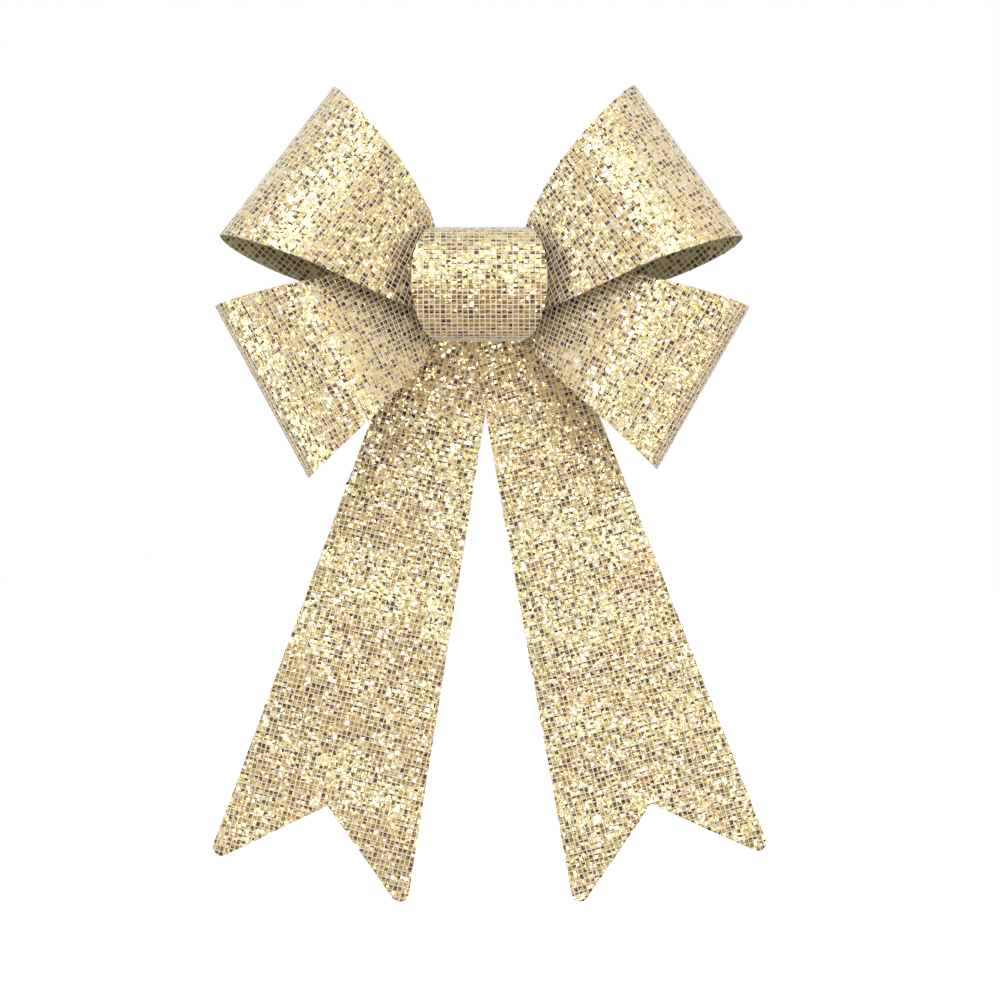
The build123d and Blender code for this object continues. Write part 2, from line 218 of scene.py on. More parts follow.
# ---------------------------------------------------------------- the bent strips
class Strip:
    """A bent strip: its middle line, the direction of its rulings and its half width, by arc length."""

    def __init__(self, name, middles, rulings, half_widths, pitch_along, pitch_across, seed, wobble=WOBBLE):
        step = np.linalg.norm(np.diff(middles, axis=0), axis=1)
        self.name = name
        self.arc = np.concatenate([[0.0], np.cumsum(step)])
        self.length = self.arc[-1]
        self.middles, self.rulings, self.half_widths = middles, rulings, half_widths
        along = unit(np.gradient(middles, self.arc, axis=0))
        self.normals = unit(np.cross(along, unit(rulings)))
        self.rows = max(2, round(self.length / pitch_along))
        self.pitch_along = self.length / self.rows
        self.pitch_across = pitch_across
        self.columns = math.ceil(max(half_widths) / pitch_across)
        self.random = np.random.default_rng(seed)
        self.phase = self.random.uniform(0, FULL_TURN, 4)
        self.wobble = wobble

    def face_outwards(self, at):
        """Turns the glitter side to the front at one arc length."""
        self.flipped = bool(np.dot(self.interp(self.normals, np.array([at]))[0], OUTWARDS) < 0)
        if self.flipped:
            self.normals = -self.normals

    def half_width(self, l):
        return np.interp(l, self.arc, self.half_widths)

    def inside(self, u, l):
        return np.abs(u) <= self.half_width(l)

    def snap(self, u, l):
        """The nearest place on the cut outline for points outside it."""
        w = self.half_width(l)
        return np.clip(u, -w, w), l

    def interp(self, table, l):
        return np.stack([np.interp(l, self.arc, table[:, i]) for i in range(3)], axis=-1)

    def weave_uv(self, u, l):
        """Places on the flat strip counted in cells of the weave."""
        return np.stack([u / self.pitch_across, l / self.pitch_along], axis=-1) + UV_START

    def place(self, u, l, height):
        """Points in metres at (across, along) on the flat strip and a height off its middle."""
        a, b, c, d = self.phase
        turn, sway, cross = WOBBLE_ACROSS
        du = self.wobble * np.sin(l * turn + a + sway * np.sin(u * cross + b))
        turn, sway, cross = WOBBLE_ALONG
        dl = self.wobble * np.sin(u * turn + c + sway * np.sin(l * cross + d))
        edge = np.clip((self.half_width(l) - np.abs(u)) / WOBBLE_EDGE_FADE, 0, 1)
        end = np.clip(np.minimum(l, self.length - l) / WOBBLE_END_FADE, 0, 1)
        l = l + dl * end
        u = u + du * edge
        return (self.interp(self.middles, l) + self.interp(self.rulings, l) * u[..., None]
                + unit(self.interp(self.normals, l)) * height[..., None]) * MM


def loop_profile(depths, length, front_y, back_y):
    """A loop seen from its side: out along the front wall, round the fold and back, as (reach, depth)."""
    crest = LOOP_CREST_AT * length
    front_tab, back_tab = depths["front_tab"], depths["back_tab"]
    front, deep, back = depths["front"], depths["fold"], depths["back"]
    curves = [
        ((front_tab, front_y), (front_tab + TAB_HANDLE, front_y + TAB_RISE["front"]),
         (crest - CREST_HANDLE, front), (crest, front)),
        ((crest, front), (crest + FRONT_BEND[0], front), (length, deep - FRONT_BEND[1]), (length, deep)),
        ((length, deep), (length, deep + BACK_BEND[1]), (crest + BACK_BEND[0], back), (crest, back)),
        ((crest, back), (crest - CREST_HANDLE, back),
         (back_tab + TAB_HANDLE, back_y + TAB_RISE["back"]), (back_tab, back_y)),
    ]
    t = np.linspace(0, 1, CURVE_SAMPLES, endpoint=False)
    front_ends = np.linspace(ROOT_TAB_INNER, front_tab, TAB_SAMPLES, endpoint=False)
    back_ends = np.linspace(back_tab, ROOT_TAB_INNER, TAB_SAMPLES)
    profile = [np.stack([front_ends, np.full_like(front_ends, front_y)], axis=1)]
    profile += [cubic(*curve, t) for curve in curves]
    profile.append(np.stack([back_ends, np.full_like(back_ends, back_y)], axis=1))
    profile = np.concatenate(profile)
    return profile[:, 0], profile[:, 1]


def loop_strip(name, seed):
    fold_x, fold_z, fold_degrees, root_degrees, fold_half_width = LOOPS[name]
    tier = name.split("_")[0]
    depths = DEPTHS[tier]
    root = np.array([0.0, ROOT_Z[tier]])
    fold = np.array([fold_x, fold_z])
    length = np.linalg.norm(fold - root)
    knee, elbow = root + heading(root_degrees) * length / 3, fold - heading(fold_degrees) * length / 3
    front_y = (FRONT_LAYER[name] - (LAYERS_IN_STACK - 1) / 2) * LAYER_PITCH
    back_y = front_y + LAYERS_IN_STACK / 2 * LAYER_PITCH
    s, depth = loop_profile(depths, length, front_y, back_y)
    t = (s / length)[:, None]
    r = 1 - t
    place = root * r ** 3 + knee * 3 * r * r * t + elbow * 3 * r * t * t + fold * t ** 3
    along = unit((knee - root) * r * r + (elbow - knee) * 2 * r * t + (fold - elbow) * t * t)
    up = np.sign(along[:, 0])
    leaning = smooth((t[:, 0] - LEAN_STARTS_AT) / (LEAN_FULL_AT - LEAN_STARTS_AT))
    lean = math.tan(math.radians(depths["lean"])) * leaning
    across = np.stack([-along[:, 1] * up, along[:, 0] * up], axis=1)
    upright = ROOT_UPRIGHT * (1 - smooth((t - UPRIGHT_TO) / (UPRIGHT_FADES_BY - UPRIGHT_TO)))
    across = unit(across * (1 - upright) + np.array([0.0, 1.0]) * upright)
    skew = np.where(depth > depths["fold"], depths["back_skew"], depths["front_skew"])
    slide = (depth - depths["fold"]) * skew
    slide *= smooth((t[:, 0] - SKEW_STARTS_AT) / (SKEW_FULL_AT - SKEW_STARTS_AT))
    place = place - across * slide[:, None]
    rulings = np.stack([across[:, 0], lean, across[:, 1]], axis=1)
    spread = np.maximum(s / length, 0) ** depths["flare"]
    tapered = TAPER_HALF_WIDTH + (fold_half_width - TAPER_HALF_WIDTH) * spread
    necks = (OUTER_NECK, INNER_NECK) if tier == "upper" else (INNER_NECK, OUTER_NECK)
    above, below = [ROOT_HALF_WIDTH + (tapered - ROOT_HALF_WIDTH) * smooth((s - start) / (end - start))
                    for start, end in necks]
    middles = np.stack([place[:, 0], STACK_Y + depth, place[:, 1]], axis=1)
    middles = middles + rulings * ((above - below) / 2)[:, None]
    widths = (above + below) / 2
    strip = Strip(name + "_ribbon", middles, rulings, widths, PITCH_ALONG, PITCH_ACROSS, seed)
    strip.face_outwards(strip.length * FRONT_WALL_AT)
    return strip


class Tail(Strip):
    """A flared strip with a swallow-tail end that bends back behind the lower loops and waves a little."""

    def outline_end(self, u):
        """How far down the cut end lies, by distance from the centre line."""
        return self.length - TAIL_NOTCH * (1 - np.minimum(np.abs(u) / TAIL_TIP_HALF_WIDTH, 1.0))

    def corner(self, u, l):
        """The rounded tip: its centre, how far points lie from it, and which of them lie in its corner."""
        edges = np.array([[math.cos(TAIL_FLARE), -math.sin(TAIL_FLARE)],
                          [-math.sin(TAIL_CUT), math.cos(TAIL_CUT)]])
        tip = np.array([TAIL_TIP_HALF_WIDTH, self.length])
        centre = np.linalg.solve(edges, edges @ tip - TAIL_CORNER_RADIUS)
        rel_u, rel_l = np.abs(u) - centre[0], l - centre[1]
        beyond_side = rel_u * math.sin(TAIL_FLARE) + rel_l * math.cos(TAIL_FLARE) > 0
        beyond_cut = rel_u * math.cos(TAIL_CUT) + rel_l * math.sin(TAIL_CUT) > 0
        return centre, rel_u, rel_l, beyond_side & beyond_cut

    def inside(self, u, l):
        ok = (np.abs(u) <= self.half_width(l)) & (l <= self.outline_end(u)) & (l >= 0)
        _, rel_u, rel_l, in_corner = self.corner(u, l)
        return ok & (~in_corner | (np.hypot(rel_u, rel_l) <= TAIL_CORNER_RADIUS))

    def snap(self, u, l):
        u, l = np.array(u, float), np.array(l, float)
        for _ in range(SNAP_ROUNDS):
            move = np.maximum(np.abs(u) - self.half_width(l), 0) * math.cos(TAIL_FLARE)
            u = u - np.sign(u) * move * math.cos(TAIL_FLARE)
            l = l + move * math.sin(TAIL_FLARE)
            move = np.maximum(l - self.outline_end(u), 0) * math.cos(TAIL_CUT)
            side = np.where(np.abs(u) < TINY, 0.0, np.sign(u))
            u = u + side * move * math.sin(TAIL_CUT)
            l = l - move * math.cos(TAIL_CUT)
        centre, rel_u, rel_l, in_corner = self.corner(u, l)
        far = np.hypot(rel_u, rel_l)
        pull = in_corner & (far > TAIL_CORNER_RADIUS)
        scale = np.where(pull, TAIL_CORNER_RADIUS / np.maximum(far, TINY), 1.0)
        return np.sign(u) * (centre[0] + rel_u * scale), centre[1] + rel_l * scale

    def place(self, u, l, height):
        points = super().place(u, l, height)
        z = points[..., 2] / MM
        back = TAIL_SET_BACK * smooth((TAIL_BEND_FROM_Z - z) / (TAIL_BEND_FROM_Z - TAIL_BEND_TO_Z))
        swing = smooth((l - TAIL_WAVES_FROM) / TAIL_WAVES_FULL_AFTER)
        wave = sum(rise * np.sin(l * along + phase + across * u)
                   for (rise, along, across), phase in zip(TAIL_WAVES, self.phase))
        points[..., 1] += (STACK_Y + TAIL_TOP_Y[self.side] + back + wave * swing) * MM
        return points


def tail_strip(side, seed):
    angle = math.radians(TAIL_ANGLE[side])
    l = np.linspace(0, TAIL_LENGTH, TAIL_SAMPLES)
    x = TAIL_TOP_X[side] + l * math.sin(angle)
    z = TAIL_TOP_Z - l * math.cos(angle)
    middles = np.stack([x, np.zeros_like(l), z], axis=1)
    rulings = np.tile([math.cos(angle), 0.0, math.sin(angle)], (len(l), 1))
    widths = TAIL_TOP_HALF_WIDTH + (TAIL_TIP_HALF_WIDTH - TAIL_TOP_HALF_WIDTH) * l / TAIL_LENGTH
    strip = Tail(side + "_tail_ribbon", middles, rulings, widths, PITCH_ALONG, PITCH_ACROSS, seed)
    strip.side = side
    strip.face_outwards(TAIL_LENGTH / 2)
    return strip


def knot_strip(seed):
    swept = np.linspace(0, 360.0 + KNOT_LAP_DEGREES, KNOT_SAMPLES)
    angle = np.radians(180.0 + KNOT_LAP_START + swept)
    front = np.cos(angle)
    lap = smooth((swept - KNOT_LAP_RISE[0]) / KNOT_LAP_RISE[1]) * LAYER_PITCH
    back_y = KNOT_BACK_DEPTH * np.maximum(-front, 0) ** KNOT_BACK_SQUARENESS + lap
    y = KNOT_CENTRE_Y + np.where(front > 0, -KNOT_FRONT_DEPTH * front, back_y)
    z = KNOT_CENTRE_Z + KNOT_HALF_HEIGHT * np.sin(angle)
    widths = KNOT_HALF_WIDTH_TOP + np.where(front > 0, KNOT_FRONT_SWELL, KNOT_BACK_TAPER) * front
    middles = np.stack([np.zeros_like(y), STACK_Y + y, z], axis=1)
    rulings = np.tile([1.0, 0.0, 0.0], (len(y), 1))
    strip = Strip("knot_band_ribbon", middles, rulings, widths, KNOT_PITCH_ALONG, KNOT_PITCH_ACROSS, seed,
                  KNOT_WOBBLE)
    strip.face_outwards(strip.length / 2)
    return strip


# ---------------------------------------------------------------- meshes of one strip
def new_object(name, vertices, faces, materials, face_material=None, uv=None):
    mesh = bpy.data.meshes.new(name)
    mesh.from_pydata(vertices.tolist(), [], faces)
    for material in materials:
        mesh.materials.append(material)
    if face_material is not None:
        mesh.polygons.foreach_set("material_index", np.asarray(face_material, np.int32))
    if uv is not None:
        layer = mesh.uv_layers.new(name="weave")
        loops = np.empty(len(mesh.loops), np.int32)
        mesh.loops.foreach_get("vertex_index", loops)
        layer.data.foreach_set("uv", np.asarray(uv, np.float32)[loops].ravel())
    mesh.validate()
    mesh.update()
    obj = bpy.data.objects.new(name, mesh)
    bpy.context.collection.objects.link(obj)
    return obj


def smooth_faces(obj, corners=None):
    """Smooth shading on every face, or on those with so many corners."""
    for polygon in obj.data.polygons:
        polygon.use_smooth = corners is None or len(polygon.vertices) == corners


def compact(name, points, faces, materials, kinds, uv):
    """Merges points that the snapping brought together, and drops faces with no area."""
    used = np.unique(np.concatenate([np.array(f) for f in faces]))
    key = np.round(points[used] / (MERGE_DISTANCE * MM)).astype(np.int64)
    _, first, inverse = np.unique(key, axis=0, return_index=True, return_inverse=True)
    remap = np.full(len(points), -1)
    remap[used] = inverse.ravel()
    new_faces, new_kinds = [], []
    for face, kind in zip(faces, kinds):
        ring = [int(remap[v]) for v in face]
        ring = [v for n, v in enumerate(ring) if v != ring[n - 1]]
        if len(ring) < 3 or len(set(ring)) < len(ring):
            continue
        new_faces.append(tuple(ring))
        new_kinds.append(kind)
    return new_object(name, points[used][first], new_faces, materials, new_kinds, uv[used][first])


def foil_sheet(strip, materials):
    """The ribbon's body: crinkled foil facets in front, dimpled backing behind, a cut rim between them."""
    rows, columns = 2 * strip.rows, 2 * strip.columns
    i, j = np.meshgrid(np.arange(rows + 1), np.arange(-columns, columns + 1), indexing="ij")
    l = i * strip.pitch_along / 2
    u = j * strip.pitch_across / 2
    outside = ~strip.inside(u, l)
    snapped_u, snapped_l = strip.snap(u, l)
    centre = (i % 2 == 1) & (j % 2 == 1) & ~outside
    shift = strip.random.uniform(-CRINKLE_SHIFT, CRINKLE_SHIFT, (2,) + u.shape)
    front_u = np.where(outside, snapped_u, u + np.where(centre, shift[0] * strip.pitch_across, 0))
    front_l = np.where(outside, snapped_l, l + np.where(centre, shift[1] * strip.pitch_along, 0))
    rise = strip.random.uniform(-1, 1, u.shape) * np.where(centre, CRINKLE_CENTRE, CRINKLE_EDGE)
    rise = np.where(outside, 0, rise)
    front_points = strip.place(front_u, front_l, FOIL_LEVEL + rise)
    back_points = strip.place(snapped_u, snapped_l, BACK_LEVEL + np.where(centre, BACK_DIMPLE, 0.0))
    inner = ~outside
    keep = inner[:-1, :-1] | inner[1:, :-1] | inner[:-1, 1:] | inner[1:, 1:]
    span = 2 * columns + 1
    count = (rows + 1) * span
    faces, kinds = [], []
    diagonal = strip.random.random(keep.shape) < 0.5

    def add(face, kind):
        faces.append(face[::-1] if strip.flipped else face)
        kinds.append(kind)

    for a in range(rows):
        for b in range(2 * columns):
            if not keep[a, b]:
                continue
            p, q = a * span + b, a * span + b + 1
            r, s = (a + 1) * span + b + 1, (a + 1) * span + b
            for face in ((p, q, r), (p, r, s)) if diagonal[a, b] else ((p, q, s), (q, r, s)):
                add(face, 0)
            add((count + s, count + r, count + q, count + p), 1)
            for da, db, m, n in ((-1, 0, p, q), (0, 1, q, r), (1, 0, r, s), (0, -1, s, p)):
                na, nb = a + da, b + db
                if 0 <= na < rows and 0 <= nb < 2 * columns and keep[na, nb]:
                    continue
                add((n, m, count + m, count + n), 2)
    points = np.concatenate([front_points.reshape(-1, 3), back_points.reshape(-1, 3)])
    uv = np.concatenate([strip.weave_uv(front_u, front_l).reshape(-1, 2),
                         strip.weave_uv(snapped_u, snapped_l).reshape(-1, 2)])
    return compact(strip.name, points, faces, materials, kinds, uv)


def intervals(strip, u, l):
    """Index ranges of the stretches of a sampled thread that lie on the strip."""
    ok = strip.inside(u, l)
    edges = np.flatnonzero(np.diff(ok.astype(int)))
    starts = [0] if ok[0] else []
    starts += [e + 1 for e in edges if ok[e + 1]]
    stops = [e for e in edges if ok[e]]
    if ok[-1]:
        stops.append(len(ok) - 1)
    return list(zip(starts, stops))


def net(strip, material):
    """The pearly threads over the foil: wefts along the rulings, woven with warps along the strip."""
    points, faces, uvs = [], [], []
    profile = ((-0.5, THREAD_SINK), (-THREAD_FLAT, THREAD_RISE),
               (THREAD_FLAT, THREAD_RISE), (0.5, THREAD_SINK))

    def thread(u, l, along_u, number):
        n = len(u)
        if n < 2:
            return
        base = sum(len(p) for p in points)
        width = THREAD_WIDTH * (1 + THREAD_WIDTH_VARIES * math.sin(number * THREAD_WIDTH_STEP))
        cross = (u / strip.pitch_across) if along_u else (l / strip.pitch_along)
        weave = THREAD_WEAVE * np.cos(math.pi * (cross + number)) * (1 if along_u else -1)
        for offset, rise in profile:
            du = 0 if along_u else offset * width
            dl = offset * width if along_u else 0
            level = FOIL_LEVEL + rise + (weave + THREAD_LIFT if rise > 0 else 0)
            points.append(strip.place(u + du, np.clip(l + dl, 0, strip.length), level + np.zeros(n)))
            uvs.append(strip.weave_uv(u + du, l + dl))
        sides = len(profile)
        ring = [base + k * n for k in range(sides)]
        around = [ring[::-1], [first + n - 1 for first in ring]]
        for k in range(sides):
            for m in range(n - 1):
                a, b = ring[k] + m, ring[(k + 1) % sides] + m
                around.append((a, b, b + 1, a + 1))
        faces.extend(tuple(face if along_u == strip.flipped else face[::-1]) for face in around)

    def threads(u, l, along_u, number):
        """The stretches of one thread that lie on the strip, with two samples a cell and both ends."""
        for start, stop in intervals(strip, u, l):
            between = [k for k in range(start + 1, stop) if k % (THREAD_SAMPLES // 2) == 0]
            take = [start] + between + [stop]
            thread(u[take], l[take], along_u, number)

    for row in range(strip.rows + 1):
        samples = np.arange(-strip.columns * THREAD_SAMPLES, strip.columns * THREAD_SAMPLES + 1)
        u = samples * strip.pitch_across / THREAD_SAMPLES
        at = min(max(row * strip.pitch_along, THREAD_INSET), strip.length - THREAD_INSET)
        threads(u, np.full(u.shape, at), True, row)
    for column in range(-strip.columns, strip.columns + 1):
        l = np.arange(strip.rows * THREAD_SAMPLES + 1) * strip.pitch_along / THREAD_SAMPLES
        threads(np.full(l.shape, column * strip.pitch_across), l, False, column)
    obj = new_object(strip.name.replace("_ribbon", "_net"), np.concatenate(points), faces, [material],
                     uv=np.concatenate(uvs))
    smooth_faces(obj)
    return obj


# ---------------------------------------------------------------- materials
class Graph:
    """The nodes of one material or world. Each input is given another node's output, or a constant."""

    def __init__(self, tree):
        self.nodes, self.links = tree.nodes, tree.links

    def feed(self, node, inputs):
        for name, value in inputs.items():
            if isinstance(value, bpy.types.NodeSocket):
                self.links.new(value, node.inputs[name])
            else:
                node.inputs[name].default_value = value
        return node

    def new(self, kind, inputs):
        return self.feed(self.nodes.new("ShaderNode" + kind), inputs)

    def math(self, operation, *values):
        node = self.nodes.new("ShaderNodeMath")
        node.operation = operation
        return self.feed(node, dict(enumerate(values))).outputs[0]

    def vector(self, operation, first, second=(0.0, 0.0, 0.0)):
        node = self.nodes.new("ShaderNodeVectorMath")
        node.operation = operation
        self.feed(node, {0: first, 3 if operation == "SCALE" else 1: second})
        return node.outputs["Value" if operation == "DOT_PRODUCT" else 0]

    def spread(self, value, from_min=0.0, from_max=1.0, to_min=0.0, to_max=1.0):
        """The value moved from one range to another, and held within it."""
        return self.new("MapRange", {"Value": value, "From Min": from_min, "From Max": from_max,
                                     "To Min": to_min, "To Max": to_max}).outputs[0]

    def ramp(self, value, stops, interpolation="LINEAR"):
        node = self.new("ValToRGB", {0: value})
        node.color_ramp.interpolation = interpolation
        elements = node.color_ramp.elements
        while len(elements) > 1:
            elements.remove(elements[-1])
        elements[0].position = stops[0][0]
        elements[0].color = (*stops[0][1], 1)
        for position, colour in stops[1:]:
            elements.new(position).color = (*colour, 1)
        return node.outputs[0]

    def mix(self, factor, a, b):
        node = self.nodes.new("ShaderNodeMix")
        node.data_type = "RGBA"
        return self.feed(node, {"Factor": factor, "A": a, "B": b}).outputs["Result"]

    def noise(self, scale, inputs=None):
        return self.new("TexNoise", {"Scale": scale, **(inputs or {})}).outputs["Fac"]

    def bump(self, height, strength, distance):
        return self.new("Bump", {"Height": height, "Strength": strength, "Distance": distance}).outputs[0]

    def channel(self, colour, number):
        return self.new("SeparateColor", {0: colour}).outputs[number]

    def weave(self):
        node = self.nodes.new("ShaderNodeUVMap")
        node.uv_map = "weave"
        return node.outputs[0]

    def weave_cell(self, shift):
        """A random value and a random colour for each cell of the weave."""
        whole = self.vector("FLOOR", self.weave())
        node = self.nodes.new("ShaderNodeTexWhiteNoise")
        node.noise_dimensions = "2D"
        self.feed(node, {"Vector": self.vector("ADD", whole, (shift, shift * 0.7, 0))})
        return node.outputs["Value"], node.outputs["Color"]

    def weave_shard(self, scale, shift):
        """A random colour for each shard of the crinkled foil."""
        node = self.nodes.new("ShaderNodeTexVoronoi")
        node.voronoi_dimensions = "2D"
        moved = self.vector("ADD", self.weave(), (shift, shift * 1.7, 0))
        self.feed(node, {"Scale": scale, "Vector": moved})
        return node.outputs["Color"]

    def weave_fraction(self):
        """How far across and along its cell of the weave a point lies."""
        return self.new("SeparateXYZ", {0: self.vector("FRACTION", self.weave())}).outputs


def start_material(name, constants):
    material = bpy.data.materials.new(name)
    material.use_nodes = True
    graph = Graph(material.node_tree)
    return material, graph, graph.feed(graph.nodes["Principled BSDF"], constants)


# the foil's tones at random by shard and cell; the dark brown stops and the near-white top stop are painted
# reflections of dark surroundings and painted white glints
FOIL_TONES_AND_REFLECTIONS = (
    (0.0, (0.14, 0.075, 0.012)), (0.20, (0.40, 0.24, 0.035)), (0.29, (0.70, 0.47, 0.11)),
    (0.42, (0.90, 0.65, 0.20)), (0.58, (0.96, 0.75, 0.31)), (0.74, (1.0, 0.90, 0.60)),
)
# colour of the painted shadow that a thread casts on the foil along one edge of some cells
FOIL_THREAD_SHADOW = (0.15, 0.075, 0.012, 1)
FOIL_TINT = (1.0, 0.98, 0.92)
# a deeper amber copy of the foil colours for the knot band, though it is the same ribbon: painted shade
KNOT_SHADE_TINT = (0.95, 0.87, 0.68)
SHARD_SCALE = 1.9
SHARD_SHARE = 0.55          # of a facet's tone; the rest comes from its cell
SHARD_TILT = 0.45
CELL_TILT = 0.22


def foil_material(name, shift, tint):
    """Crinkled gold foil: each shard has its own tone, polish and tilt, and some cells a painted shadow of
    the thread along one edge. Its darkest and palest tones are painted reflections and glints.
    """
    material, graph, shader = start_material(name, {
        "Metallic": 0.78, "Coat Weight": 0.6, "Coat Roughness": 0.07, "Coat IOR": 1.6})
    shard = graph.weave_shard(SHARD_SCALE, shift)
    cell_value, cell_colour = graph.weave_cell(shift)
    shard_part = graph.math("MULTIPLY", graph.channel(shard, 0), SHARD_SHARE)
    stops = [(at, tuple(c * t for c, t in zip(colour, tint))) for at, colour in FOIL_TONES_AND_REFLECTIONS]
    mixed = graph.math("MULTIPLY_ADD", cell_value, 1 - SHARD_SHARE, shard_part)
    # partly painted reflection: the ramp's darkest and palest tones stand for dark reflections and white
    # glints
    tone = graph.ramp(mixed, stops, "CONSTANT")
    # painted shadow: a dark band along the weft at one edge of some cells, where the thread would shade the
    # foil
    thread_shadow_reach = graph.spread(graph.channel(cell_colour, 2), from_min=0.4, to_max=0.56)
    thread_shadow = graph.math("LESS_THAN", graph.weave_fraction()[1], thread_shadow_reach)
    facing = graph.new("NewGeometry", {}).outputs["Normal"]
    for colour, tilt in ((shard, SHARD_TILT), (cell_colour, CELL_TILT)):
        lean = graph.vector("SCALE", graph.vector("SUBTRACT", colour, (0.5, 0.5, 0.5)), tilt)
        facing = graph.vector("ADD", facing, lean)
    facing = graph.vector("NORMALIZE", facing)
    graph.feed(shader, {"Base Color": graph.mix(thread_shadow, tone, FOIL_THREAD_SHADOW),
                        "Roughness": graph.spread(graph.channel(shard, 1), to_min=0.10, to_max=0.28),
                        "Normal": facing, "Coat Normal": facing})
    return material


def backing_material(name, shift):
    """The ribbon's matt back: khaki threads with dull gold showing between them."""
    material, graph, shader = start_material(name, {"Roughness": 0.42, "Metallic": 0.25})
    fraction = graph.weave_fraction()
    threads = [graph.spread(graph.math("PINGPONG", fraction[axis], 0.5), 0.09, 0.13, 1.0, 0.0)
               for axis in (0, 1)]
    thread = graph.math("MAXIMUM", *threads)
    tone = graph.ramp(graph.weave_cell(shift)[0], [
        (0.0, (0.13, 0.085, 0.022)), (0.28, (0.24, 0.175, 0.06)), (0.5, (0.36, 0.29, 0.13)),
        (0.72, (0.48, 0.41, 0.21)), (0.9, (0.62, 0.54, 0.31)),
    ], "CONSTANT")
    thread_tone = graph.ramp(graph.noise(900), [(0.35, (0.60, 0.56, 0.42)), (0.65, (0.74, 0.70, 0.56))])
    graph.feed(shader, {"Base Color": graph.mix(thread, tone, thread_tone),
                        "Normal": graph.bump(thread, 0.5, 0.0001)})
    return material


def rim_material():
    """The ribbon's cut edge, speckled by the ends of its fibres."""
    material, graph, shader = start_material("ribbon_cut_edge", {"Roughness": 0.6})
    stops = [(0.3, (0.27, 0.24, 0.16)), (0.5, (0.42, 0.37, 0.25)), (0.7, (0.62, 0.56, 0.42))]
    graph.feed(shader, {"Base Color": graph.ramp(graph.noise(1400), stops)})
    return material


def thread_material():
    material, graph, shader = start_material("pearl_thread", {
        "Roughness": 0.35, "Specular IOR Level": 0.6, "Coat Weight": 0.3, "Coat Roughness": 0.2})
    stops = [(0.35, (0.63, 0.62, 0.61)), (0.65, (0.77, 0.76, 0.745))]
    graph.feed(shader, {"Base Color": graph.ramp(graph.noise(700), stops)})
    return material


def felt_material():
    material, graph, shader = start_material("champagne_felt", {
        "Roughness": 0.95, "Sheen Weight": 0.5, "Sheen Roughness": 0.6})
    clump = graph.noise(900, {"Detail": 6})
    stops = [(0.3, (0.44, 0.32, 0.15)), (0.7, (0.68, 0.53, 0.29))]
    graph.feed(shader, {"Base Color": graph.ramp(clump, stops), "Normal": graph.bump(clump, 0.6, 0.0002)})
    return material


def steel_material(name, colour, brushed, roughness):
    """Plated steel: fine rolling marks along the strip and faint handling smudges."""
    material, graph, shader = start_material(name, {"Metallic": 0.75})
    place = graph.new("TexCoord", {}).outputs["Object"]
    stretch = graph.new("Mapping", {"Scale": (90 if brushed else 900, 3200, 3200), 0: place}).outputs[0]
    marks = graph.noise(1.0, {"Detail": 3, "Vector": stretch})
    smudge = graph.noise(160, {"Vector": place})
    stops = [(0.35, tuple(0.84 * c for c in colour)), (0.65, colour)]
    graph.feed(shader, {"Base Color": graph.ramp(marks, stops),
                        "Roughness": graph.spread(smudge, 0.35, 0.65, roughness, roughness + 0.14),
                        "Normal": graph.bump(marks, 0.12, 0.00005)})
    return material


def glue_material():
    """Hot-melt glue: cloudy, waxy and slightly see-through."""
    material, graph, shader = start_material("hot_melt_glue", {
        "Roughness": 0.32, "Subsurface Weight": 0.3, "Subsurface Scale": 0.001})
    stops = [(0.3, (0.70, 0.66, 0.55)), (0.7, (0.84, 0.81, 0.72))]
    graph.feed(shader, {"Base Color": graph.ramp(graph.noise(350), stops)})
    return material


def nylon_material():
    """Natural nylon of the cable tie, with the strap's fine cross ridges."""
    material, graph, shader = start_material("natural_nylon", {"Roughness": 0.4})
    place = graph.new("TexCoord", {}).outputs["Object"]
    wave = graph.new("TexWave", {"Scale": 260, "Vector": place})
    wave.bands_direction = "Z"
    ridges = wave.outputs["Fac"]
    stops = [(0.2, (0.74, 0.73, 0.68)), (0.8, (0.86, 0.85, 0.80))]
    graph.feed(shader, {"Base Color": graph.ramp(ridges, stops), "Normal": graph.bump(ridges, 0.4, 0.0001)})
    return material


# ---------------------------------------------------------------- felt and spring
def rounded_half(x):
    """Half the felt's height at a distance from its middle."""
    half_length, half_height = FELT[0] / 2, FELT[2] / 2
    past = np.clip(np.abs(x) - (half_length - FELT_CORNER), 0, FELT_CORNER)
    return half_height - FELT_CORNER + np.sqrt(FELT_CORNER * FELT_CORNER - past * past)


